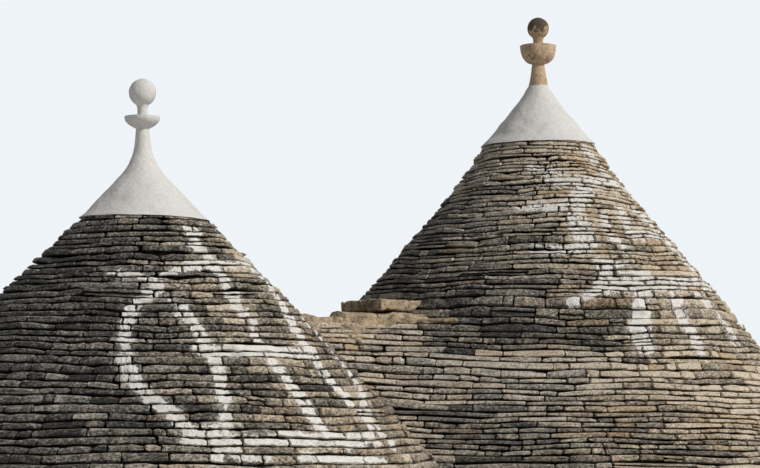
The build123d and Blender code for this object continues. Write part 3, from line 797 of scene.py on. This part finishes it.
# A tone: bright and spread are the stones' brightness, upwards and warm what they win towards the top; the
# rest paint light and shade into their colour: how dark the side away from the sun is painted, and how much
# and how narrowly the side towards it is painted lighter.
smallTone = {"bright": 0.66, "spread": 0.15, "darkInShade": 0.85, "paintedSun": 1.16, "focus": 1.3, "upwards": 0.12,
             "warm": -0.5}
tallTone = {"bright": 0.82, "spread": 0.16, "darkInShade": 0.46, "paintedSun": 2.8, "focus": 3.4, "upwards": 0.85,
            "warm": 0.14}
saddleTone = {"bright": 1.10, "spread": 0.20, "darkInShade": 0.46, "paintedSun": 0.72, "focus": 1.5, "upwards": 0.16,
              "warm": 0.12}
underCap = 0.014       # how far below a cap's foot the top course ends
paintMargin = 0.03     # how near to a stroke a stone counts as painted

saddle = {
    "fall": 1.06, "blend": 0.5,      # how steep its faces are, and how softly they meet the cone
    "inside": 0.5,                   # how far before the tall cone's axis its body ends
    "nearest": -0.1, "farthest": 2.6, "tries": 271,      # where its courses are looked for, out from the cone
    "overlap": 0.30, "cover": 0.06, "deep": 0.2,         # how far stones run on under the other roof's
}
saddleCorners = verticesOf("saddle_paving")
saddleTop = saddleCorners[:, 2].min()
pavingTop = saddleCorners[:, 2].max()


def saddleEdge(name, side):
    # a point on the top edge of the saddle's sloping face, and the way that the face looks
    corners = verticesOf(f"saddle_{name}_cover")
    top = corners[corners[:, 2] > corners[:, 2].max() - 0.002]
    leftEnd = max(top[top[:, 0] < top[:, 0].min() + 0.2], key=lambda corner: side * corner[1])
    rightEnd = max(top[top[:, 0] > top[:, 0].max() - 0.2], key=lambda corner: side * corner[1])
    run = (rightEnd - leftEnd)[:2]
    return leftEnd, np.array((-run[1], run[0])) * side / np.hypot(*run)


saddleEdges = [saddleEdge("front", -1), saddleEdge("back", 1)]


def beyondSaddle(x, y, z):
    # distance outside the body of the saddle, below zero within it
    fallen = (saddleTop - z) / saddle["fall"]
    sides = [(x - edge[0]) * out[0] + (y - edge[1]) * out[1] - fallen * abs(out[1])
             for edge, out in saddleEdges]
    return np.maximum(np.maximum(*sides), x - tallX + saddle["inside"])


def beyondCone(name, x, y, z):
    return np.hypot(x - roofAxis[name], y) - np.interp(z, *roofOutline[name])


def smallReach(angles, height):
    return np.full(len(angles), np.interp(height, *roofOutline["small"]))


def beyondBody(x, y, z):
    # the tall cone and the saddle as one body, eased where they meet
    cone, ridge = beyondCone("tall", x, y, z), beyondSaddle(x, y, z)
    share = np.clip(0.5 + 0.5 * (ridge - cone) / saddle["blend"], 0, 1)
    return ridge * (1 - share) + cone * share - saddle["blend"] * share * (1 - share)


def tallReach(angles, height):
    # how far out the body of cone and saddle reaches at each angle
    around = np.interp(height, *roofOutline["tall"])
    if height > saddleTop - 0.01:
        return np.full(len(angles), around)
    reach = np.linspace(around + saddle["nearest"], around + saddle["farthest"], saddle["tries"])[None, :]
    body = beyondBody(tallX + np.cos(angles)[:, None] * reach, np.sin(angles)[:, None] * reach, height)
    last = np.clip((body < 0).sum(axis=1), 1, reach.size - 1)
    rows = np.arange(len(angles))
    before, after = body[rows, last - 1], body[rows, last]
    return reach[0, last - 1] + (reach[0, 1] - reach[0, 0]) * np.clip(before / (before - after), 0, 1)


def some(batch, chosen):
    return {key: values[chosen] for key, values in batch.items()}


def underPaint(batch, name):
    # stones that a stroke of paint reaches
    tree, halves = paint[name]
    chosen = np.zeros(len(batch["half"]), bool)
    rows = zip(batch["face"], batch["low"], batch["high"], batch["half"])
    for stone, (spot, low, high, half) in enumerate(rows):
        _, index, away = tree.find((spot[0], spot[1], (low.mean() + high.mean()) / 2))
        chosen[stone] = away < halves[index] + half + paintMargin
    return chosen


def smallShows(x, y, z):
    # stones of the small cone that the tall one and the saddle don't cover
    return x < smallX or x < roofSplit + saddle["overlap"] and (
        z > saddleTop - saddle["cover"] or beyondSaddle(x, y, z) > -saddle["deep"])


def tallShows(x, y, z):
    return beyondCone("small", x, y, z) > -saddle["overlap"] and x > smallX


def layRoofs():
    smallHeights, tallHeights = roofOutline["small"][0], roofOutline["tall"][0]
    small = roundCourses(
        smallX, smallHeights[0], smallHeights[-1] - underCap, smallReach, smallRoof, smallShows)
    tall = roundCourses(tallX, tallHeights[0], tallHeights[-1] - underCap, tallReach, tallRoof, tallShows)
    spots = tall["face"][:, 0], tall["face"][:, 1], tall["low"].mean(axis=1)
    onSaddle = (spots[2] < saddleTop) & (beyondSaddle(*spots) < beyondCone("tall", *spots))
    smallPainted, tallPainted = underPaint(small, "small"), underPaint(tall, "tall")
    upper = spots[2] > np.median(spots[2])
    lowerPlain, upperPlain = ~(tallPainted | upper | onSaddle), upper & ~(tallPainted | onSaddle)
    front, back = onSaddle & (spots[1] < 0), onSaddle & (spots[1] >= 0)
    laid = (
        ("small_cone_slabs", small, ~smallPainted, smallTone, None, "small_roof_cover"),
        ("small_cone_painted_slabs", small, smallPainted, smallTone, "small", "small_roof_cover"),
        ("tall_cone_lower_slabs", tall, lowerPlain, tallTone, None, "tall_roof_cover"),
        ("tall_cone_upper_slabs", tall, upperPlain, tallTone, None, "tall_roof_cover"),
        ("tall_cone_painted_slabs", tall, tallPainted & ~onSaddle, tallTone, "tall", "tall_roof_cover"),
        ("saddle_front_slabs", tall, front, saddleTone, None, "saddle_front_cover"),
        ("saddle_back_slabs", tall, back, saddleTone, None, "saddle_back_cover"),
    )
    for name, batch, chosen, tone, sign, node in laid:
        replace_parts(layStones(name, some(batch, chosen), slabCut, "roof_slabs", tone, sign), node)


layRoofs()

# Eaves and walls
plainLaid = {"thicker": 0.0, "setIn": 0.0, "pairs": 0.0, "rise": 0.0}
eavesCut = {"gap": 0.006, "bedGap": 0.0, "chip": 0.009, "bed": 0.003, "face": 0.006, "under": 0.010,
            "lowEdge": 0.16, "highEdge": 0.14, "ends": 0.008, "tilt": 0.0, "taper": 0.1}
eaves = {**plainLaid, "course": 0.07, "courseVary": 0.0, "length": 0.40, "vary": 0.28, "depth": 0.42,
         "lean": 0.0, "proud": 0.012, "yaw": 0.02, "wander": 0.0, "overlap": 0.05}
# painted sunlight and shade as on the roof slabs
eavesTone = {"bright": 0.66, "spread": 0.14, "darkInShade": 0.40, "paintedSun": 0.45, "focus": 1.5, "upwards": 0.0,
             "warm": 0.0}
wallCut = {"gap": 0.010, "bedGap": 0.010, "chip": 0.016, "bed": 0.005, "face": 0.005, "under": 0.012,
           "lowEdge": 0.12, "highEdge": 0.12, "ends": 0.010, "tilt": 0.0, "taper": 0.1}
# standOut is how far the faces stand before the plain wall, overlap how far stones run on into the other
# room's wall, and shortest the length below which no stone is left at an opening
walls = {**plainLaid, "course": 0.185, "courseVary": 0.28, "length": 0.34, "vary": 0.30, "depth": 0.075,
         "lean": 1.0, "proud": 0.004, "yaw": 0.012, "wander": 0.012, "standOut": 0.012, "overlap": 0.04,
         "shortest": 0.06}


def widest(name, node, height):
    # greatest radius of a node's corners at one height, from a room's axis
    return max(math.hypot(x - roofAxis[name], y) for x, y, z in verticesOf(node) if abs(z - height) < 0.002)


wallRadii = {name: [widest(name, f"{name}_front_wall", height) for height in (0, wallTop)]
             for name in roofAxis}
windowWays = {"small": (270, 180), "tall": (90,)}      # degrees from +X
doorWay = 270
lintelReach = 0.12     # how far a lintel runs past the window's sides
lintelLow, lintelHigh = spanOf("window_lintels", upZ)
sillLow = spanOf("window_sills", upZ)[0]
windowHalfWidth = halfWidthOf("small_front_window_walls")
archLow, archHigh = spanOf("door_arch", upZ)
archHalfWidth = halfWidthOf("door_arch")
doorHalfWidth = halfWidthOf("door_threshold")


def windowHalf(bottom, top):
    # how far the stones of a course stay away from the middle of a window
    if bottom < lintelHigh and top > lintelLow:
        return windowHalfWidth + lintelReach
    return windowHalfWidth if bottom < lintelLow and top > sillLow else 0


def doorHalf(bottom, top):
    if bottom >= archHigh:
        return 0
    if top <= archLow:
        return doorHalfWidth
    return archHalfWidth * math.sqrt(1 - min(1, max(0, (bottom - archLow) / (archHigh - archLow))) ** 2)


def openingsOf(name):
    # for each cut through a room's wall, its direction and the half width that it has between two heights
    found = [(math.radians(way), windowHalf) for way in windowWays[name]]
    if name == "tall":
        found.append((math.radians(doorWay), doorHalf))
    return found


def cutterOf(name):
    def cut(pair, bottom, top, radius):
        # what is left of a stone between two angles
        kept = [pair]
        for direction, halfOf in openingsOf(name):
            half = math.asin(halfOf(bottom, top) / radius)
            if not half:
                continue
            pieces = []
            for left, right in kept:
                start = (left - direction + math.pi) % (2 * math.pi) - math.pi
                end = start + right - left
                shift = left - start
                if start < -half:
                    pieces.append((left, min(end, -half) + shift))
                if end > half:
                    pieces.append((max(start, half) + shift, right))
            kept = pieces
        return [(left, right) for left, right in kept if (right - left) * radius > walls["shortest"]]
    return cut


def layWalls(name, other):
    axisX, side = roofAxis[name], -1 if name == "small" else 1
    edge = widest(name, f"{name}_eaves", eavesTop)
    foot, head = (radius + walls["standOut"] for radius in wallRadii[name])

    def onEaves(angles, height):
        return np.full(len(angles), edge)

    def ownSide(x, y, z):
        return side * (x - roofSplit) > -eaves["overlap"]

    def upTheWall(angles, height):
        return np.full(len(angles), np.interp(height, (0, wallTop), (foot, head)))

    def clear(x, y, z):
        otherRadius = np.interp(z, (0, wallTop), wallRadii[other])
        return math.hypot(x - roofAxis[other], y) > otherRadius - walls["overlap"]

    ring = roundCourses(axisX, wallTop, eavesTop, onEaves, eaves, ownSide)
    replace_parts(layStones(f"{name}_eaves_slabs", ring, eavesCut, "roof_slabs", eavesTone), f"{name}_eaves")
    drum = roundCourses(axisX, 0, wallTop, upTheWall, walls, clear, cutterOf(name))
    layStones(f"{name}_wall_face", drum, wallCut, "limewashed_wall")


layWalls("small", "tall")
layWalls("tall", "small")

# Ledge, arches, threshold, lintels and sills
# cell is the grid that a stone is cut from, lump and scale the height of its lumps and how many come to a
# metre, and knocks the depth of the corners knocked off
wornStones = {
    "saddle_ledge_slabs": {"node": "saddle_ledge", "slot": "saddle_slabs", "cell": 0.014, "lump": 0.014,
                           "scale": 7, "knocks": 0.06},
    "door_arch_stones": {"node": "door_arch", "cell": 0.026, "lump": 0.010, "scale": 6},
    "door_threshold_stone": {"node": "door_threshold", "cell": 0.024, "lump": 0.008, "scale": 5},
    "passage_arch_stones": {"node": "passage_arch", "cell": 0.024, "lump": 0.008, "scale": 6},
    "window_lintel_stones": {"node": "window_lintels", "cell": 0.026, "lump": 0.008, "scale": 6},
    "window_sill_stones": {"node": "window_sills", "cell": 0.016, "lump": 0.006, "scale": 8},
}
wornPlain = {"slot": "dressed_stone", "knocks": 0.0}
wear = {
    "rounds": 2,                                # of smoothing
    "fine": 0.35, "finer": 4,                   # height of the small lumps in big ones, and how many
    "knockScale": 1.7, "knockFrom": 0.12,       # how many corners are knocked off, and above which noise
    "knockPlace": Vector((7, 3, 5)),            # the part of the noise that they are taken from
}


def looseParts(node):
    # each solid of a node as (points, faces)
    work = bmesh.new()
    work.from_mesh(nodes[node].data)
    bmesh.ops.remove_doubles(work, verts=work.verts, dist=0.0002)
    work.verts.index_update()
    near = [[edge.other_vert(vertex).index for edge in vertex.link_edges] for vertex in work.verts]
    partOf = {}
    for first in range(len(near)):
        queue = [first] if first not in partOf else []
        while queue:
            index = queue.pop()
            if index not in partOf:
                partOf[index] = first
                queue += near[index]
    parts = []
    for first in sorted(set(partOf.values())):
        group = [vertex for vertex in work.verts if partOf[vertex.index] == first]
        order = {vertex.index: place for place, vertex in enumerate(group)}
        faces = [tuple(order[vertex.index] for vertex in face.verts)
                 for face in work.faces if face.verts[0].index in order]
        parts.append(([tuple(vertex.co) for vertex in group], faces))
    work.free()
    return parts


def wornCopy(name, node, slot, cell, lump, scale, knocks):
    # the node's own solids with worn edges and lumpy faces
    points, faces = [], []
    for corners, sides in looseParts(node):
        mesh = bpy.data.meshes.new("worn")
        mesh.from_pydata(corners, [], sides)
        block = bpy.data.objects.new("worn", mesh)
        bpy.context.scene.collection.objects.link(block)
        remesh = block.modifiers.new("cells", "REMESH")
        remesh.mode = "VOXEL"
        remesh.voxel_size = cell
        block.modifiers.new("wear", "SMOOTH").iterations = wear["rounds"]
        bpy.context.view_layer.update()
        shaped = block.evaluated_get(bpy.context.evaluated_depsgraph_get()).to_mesh()
        offset = len(points)
        for vertex in shaped.vertices:
            spot = vertex.co * scale
            push = lump * noise.noise(spot) + wear["fine"] * lump * noise.noise(spot * wear["finer"])
            knocked = noise.noise(spot * wear["knockScale"] + wear["knockPlace"])
            push -= knocks * max(0, knocked - wear["knockFrom"])
            points.append(tuple(vertex.co + vertex.normal * push))
        faces += [tuple(offset + index for index in face.vertices) for face in shaped.polygons]
        block.evaluated_get(bpy.context.evaluated_depsgraph_get()).to_mesh_clear()
        bpy.data.objects.remove(block)
    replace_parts(newPiece(name, points, faces, slot, smooth=not knocks), node)
    print(f"{name}: {len(faces)} faces")


for name, worn in wornStones.items():
    wornCopy(name, **(wornPlain | worn))

# Worn slabs on the saddle
paving = {
    "step": 0.0125,                     # between its sections, along x
    "sunk": 0.026, "lean": 0.036,       # worn down on top, and further down towards the edges
    "stand": 0.022, "thick": 0.07,      # how far the worn skin stands out, and how thick it is
    "drape": 0.19, "least": 0.03,       # how far it hangs down the faces
    "drapeTo": (-0.34, -0.14),          # between these x it shortens to the least
    "rows": 12, "tries": 240,           # on the part that hangs, and to find the face at each
    "outermost": 1.7,                   # how far out the face is looked for
    "lump": 0.034, "lumpScale": 8, "grain": 0.014, "grainScale": 31,
    "joint": 0.018, "jointWidth": 0.014,
    "shares": (0.92, 0.75, 0.6, 0.45, 0.3, 0.15),      # points of a section, from the edge to the ridge
    "hem": ((1, 5, 3, 1), (0.6, 17, 5, 2)),            # waves of its lower edge: share, scale and place
    "hemRise": 0.85, "hemSwing": 0.5,                  # usual share of the drape, and how far it differs
    "pushOut": 0.6, "pushUp": 0.7,                     # shares of a lump that go sideways and up
}
# A low slab under the end of the ledge: past is how far it sticks out beyond the ledge, clear how far off the
# ridge its narrow end keeps, behind how long that end is, rise how high it stands, and flat how level it lies
lowSlab = {"past": 0.345, "clear": 0.16, "behind": 0.19, "rise": 0.036, "flat": 0.7}
slabEnd = spanOf("saddle_ledge", alongX)[0] - lowSlab["past"]
ridgeStart = spanOf("saddle_paving", alongX)[0]


def skirtRows(x, edge, side, hang):
    # the worn skin on one face of the saddle, from its foot up to the top
    rows = []
    for share in np.linspace(1, 0, paving["rows"]):
        z = saddleTop - share * max(hang, 0.01)
        reach = np.linspace(edge * 0.5, paving["outermost"], paving["tries"])
        y = reach[np.count_nonzero(beyondBody(x, side * reach, z) < 0) - 1]
        rows.append((y + paving["stand"] * min(1, 3 * (1 - share) + 0.1), z))
    rows.append((edge - 0.02, (saddleTop + pavingTop) / 2 - paving["lean"] / 2))
    return rows


def topRows(x, edge, side):
    # the top from one edge to the ridge, lower before the low slab begins
    drop = np.interp(x, (ridgeStart, slabEnd), (0, lowSlab["rise"]))
    inFront = x - slabEnd > 0 and side < 0
    rows = []
    for share in paving["shares"]:
        raised = x - slabEnd > lowSlab["behind"] or (inFront and edge * share > lowSlab["clear"])
        lean = paving["lean"] * (1 - lowSlab["flat"] * inFront) * share**3
        rows.append((edge * share, pavingTop - paving["sunk"] - lean - drop * (not raised)))
    return rows, (0.0, pavingTop - paving["sunk"] - drop * (x - slabEnd <= lowSlab["behind"]))


def pavingSection(x, edge, joints):
    # front foot, front edge, top, back edge and back foot of the worn slabs at one x
    ragged = sum(share * noise.noise(Vector((x * scale, *place))) for share, scale, *place in paving["hem"])
    fade = np.interp(x, paving["drapeTo"], (1, 0))
    outer = []
    for side in (-1, 1):
        hem = paving["hemRise"] + paving["hemSwing"] * side * ragged
        hang = paving["least"] + fade * paving["drape"] * hem
        rows, ridge = topRows(x, edge, side)
        line = [(side * y, z) for y, z in skirtRows(x, edge, side, hang) + rows]
        outer += line if side < 0 else [ridge] + line[::-1]
    thick = paving["thick"]
    inner = [(x, y * (1 - thick / max(abs(y), 0.2)), min(z - 0.4 * thick, saddleTop - 0.01))
             for y, z in outer]
    sunk = paving["joint"] * sum(math.exp(-((x - joint) / paving["jointWidth"]) ** 2) for joint in joints)
    worn = []
    for y, z in outer:
        spot = Vector((x, y, z))
        push = paving["lump"] * noise.noise(spot * paving["lumpScale"])
        push = push + paving["grain"] * noise.noise(spot * paving["grainScale"]) - sunk
        outwards = np.sign(y) * (abs(y) > edge * 0.95)
        worn.append((x, y + push * paving["pushOut"] * outwards, z + push * paving["pushUp"]))
    return worn, inner


def skinFaces(width, count):
    # faces of a skin made of sections, each with its outer points and then its inner ones
    faces = []
    last = width - 1
    for row in range(count - 1):
        here, there = row * 2 * width, (row + 1) * 2 * width
        for spot in range(last):
            faces.append((here + spot, here + spot + 1, there + spot + 1, there + spot))
            under, beyond = here + width + spot, there + width + spot
            faces.append((under, beyond, beyond + 1, under + 1))
        faces.append((here, there, there + width, here + width))
        faces.append((here + last, here + width + last, there + width + last, there + last))
    for row, flip in ((0, 1), (count - 1, -1)):
        base = row * 2 * width
        for spot in range(last):
            faces.append((base + spot, base + width + spot, base + width + spot + 1, base + spot + 1)[::flip])
    return faces


def layPaving():
    alongs = [[x for x, _, _ in corners] for corners, _ in looseParts("saddle_paving")]
    slabs = sorted((min(along), max(along)) for along in alongs)
    joints = [(before[1] + after[0]) / 2 for before, after in zip(slabs[:-1], slabs[1:])]
    start, end = slabs[0][0], slabs[-1][1]
    corners = saddleCorners[saddleCorners[:, 1] > 0]
    edges = [corners[np.abs(corners[:, 0] - x) < 0.01][:, 1].max() for x in (start, end)]
    sections = [pavingSection(x, np.interp(x, (start, end), edges), joints)
                for x in np.arange(start, end, paving["step"])]
    points = [point for outer, inner in sections for point in outer + inner]
    faces = skinFaces(len(sections[0][0]), len(sections))
    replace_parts(newPiece("saddle_paving_slabs", points, faces, "saddle_slabs"), "saddle_paving")
    print(f"saddle_paving_slabs: {len(faces)} faces")


layPaving()

# Caps and pinnacles
turnings = {
    "sides": 120, "rounds": 3, "rings": 0.012,      # corners round, corner cutting, step up the outline
    "lip": 0.014, "lipRise": 0.05,                  # how far out plaster stands at its foot, and how high up
    "ragged": 0.3, "raggedScale": 3,                # how uneven its lower edge is, and how often
    "slim": 0.4, "fullAt": 0.35,                    # lumps near the axis, and the radius with whole ones
    "fine": 0.35, "finer": 3.3,                     # height of the small lumps in big ones, and how many
    "sharp": 60,                                    # degrees from which an edge stays sharp
}


def softened(profile, rounds):
    # cuts the corners of an outline again and again, and keeps its ends
    for _ in range(rounds):
        cut = [profile[0]]
        for (r0, z0), (r1, z1) in zip(profile[:-1], profile[1:]):
            cut.append((0.75 * r0 + 0.25 * r1, 0.75 * z0 + 0.25 * z1))
            cut.append((0.25 * r0 + 0.75 * r1, 0.25 * z0 + 0.75 * z1))
        profile = cut + [profile[-1]]
    return profile


def evenSteps(profile, step):
    points = np.array(profile)
    lengths = np.concatenate([[0], np.cumsum(np.hypot(*(points[1:] - points[:-1]).T))])
    count = max(3, round(lengths[-1] / step))
    spots = np.linspace(0, lengths[-1], count + 1)
    return np.stack([np.interp(spots, lengths, points[:, 0]), np.interp(spots, lengths, points[:, 1])], 1)


def turnedRings(wanted, axisX, turning, around):
    # rings of (radius, height) on the outline of CAD nodes, with an uneven lip where plaster laps the roof
    profile = []
    for node in wanted:
        heights, radii = outlineOf(node, axisX)
        profile += [place for place in zip(radii, heights) if place not in profile]
    profile = evenSteps(softened(profile, turnings["rounds"]), turnings["rings"])
    if "lap" not in turning:
        return [[(radius, height)] * len(around) for radius, height in profile]
    least, most, towards = turning["lap"]
    middle, swing = (most + least) / 2, (most - least) / 2
    laps = [middle + swing * math.cos(angle - math.radians(towards))
            + turnings["ragged"] * swing * noise.noise(
                Vector((math.cos(angle), math.sin(angle), 3)) * turnings["raggedScale"])
            for angle in around]
    foot, base = profile[0]
    lip = [turnings["lip"] * max(0, 1 - (height - base) / turnings["lipRise"])**2 for _, height in profile]
    rings = [[(radius + out, height)] * len(around) for (radius, height), out in zip(profile, lip)]
    for share in (0.5, 1.0):
        rings.insert(0, [(foot + lip[0] + share * lap, base - share * lap) for lap in laps])
    return rings


def swelling(spot, radius, turning):
    # how far a face stands out, more where the piece is wide
    size = turning["lump"] * (turnings["slim"] + min(1, radius / turnings["fullAt"]))
    spot = spot * turning["scale"]
    return size * (noise.noise(spot) + turnings["fine"] * noise.noise(spot * turnings["finer"]))


def turnedPiece(name, wanted, slotName, turning, material=None):
    # a lumpy round piece that stands for the CAD nodes of its own outline
    axisX, sides = roofAxis[name.split("_")[0]], turnings["sides"]
    around = 2 * math.pi * np.arange(sides) / sides
    rings = turnedRings(wanted, axisX, turning, around)
    low, high, aside = turning["lean"]
    points, faces = [], []
    for ring in rings:
        for angle, (radius, height) in zip(around, ring):
            spot = Vector((axisX + radius * math.cos(angle), radius * math.sin(angle), height))
            reach = radius + swelling(spot, radius, turning)
            moved = -cameraRight * aside * np.interp(height, (low, high), (0, 1))
            x, y = axisX + reach * math.cos(angle), reach * math.sin(angle)
            points.append((x + moved.x, y + moved.y, height))
    last = (len(rings) - 1) * sides
    for row in range(0, last, sides):
        for side in range(sides):
            after = (side + 1) % sides
            faces.append((row + side, row + after, row + sides + after, row + sides + side))
    points += [tuple(np.mean(points[:sides], axis=0)), tuple(np.mean(points[last:], axis=0))]
    for side in range(sides):
        after = (side + 1) % sides
        faces.append((after, side, len(points) - 2))
        faces.append((last + side, last + after, len(points) - 1))
    piece = newPiece(name, points, faces, slotName, material)
    piece.data.set_sharp_from_angle(angle=math.radians(turnings["sharp"]))
    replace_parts(piece, *wanted)


# lean: from one height to another, that far to the left as the camera sees it
# lap: the least and most that plaster hangs below the cap's foot, and where it hangs lowest, degrees from +X
leaning = (spanOf("small_cap", upZ)[0], spanOf("small_stem", upZ)[1], 0.017)
straight = (0, 1, 0)
plastered = {"lump": 0.008, "scale": 8, "lean": leaning}
carved = {"lump": 0.007, "scale": 12, "lean": straight}
smallCap = {**plastered, "lap": (0.004, 0.026, -60)}
tallCap = {**plastered, "lean": straight, "lap": (0.006, 0.046, -160)}
turnedPiece("small_plaster_cap", ("small_cap", "small_stem"), "whitewashed_plaster", smallCap)
turnedPiece("small_plaster_disc", ("small_disc",), "whitewashed_plaster", plastered)
turnedPiece("small_plaster_ball", ("small_ball",), "whitewashed_plaster", plastered)
turnedPiece("tall_plaster_cap", ("tall_cap",), "whitewashed_plaster", tallCap)
turnedPiece("tall_stone_stem", ("tall_stem",), "bare_pinnacle_stone", carved)
turnedPiece("tall_stone_bowl", ("tall_bowl",), "bare_pinnacle_stone", carved)
turnedPiece("tall_stone_ball", ("tall_ball",), "bare_pinnacle_stone", carved, finishes["darkened_ball"])
print("caps and pinnacles turned")

# Floor round the house
floorHalf = 150


def layFloor():
    mesh = bpy.data.meshes.new("studio_floor")
    corners = [(x * floorHalf, y * floorHalf, 0) for x, y in ((-1, -1), (1, -1), (1, 1), (-1, 1))]
    mesh.from_pydata(corners, [], [(0, 1, 2, 3)])
    floor = bpy.data.objects.new("studio_floor", mesh)
    mesh.materials.append(Finish("studio_floor").finish(light["floor"], 0.95, 0.1))
    bpy.context.scene.collection.objects.link(floor)


layFloor()
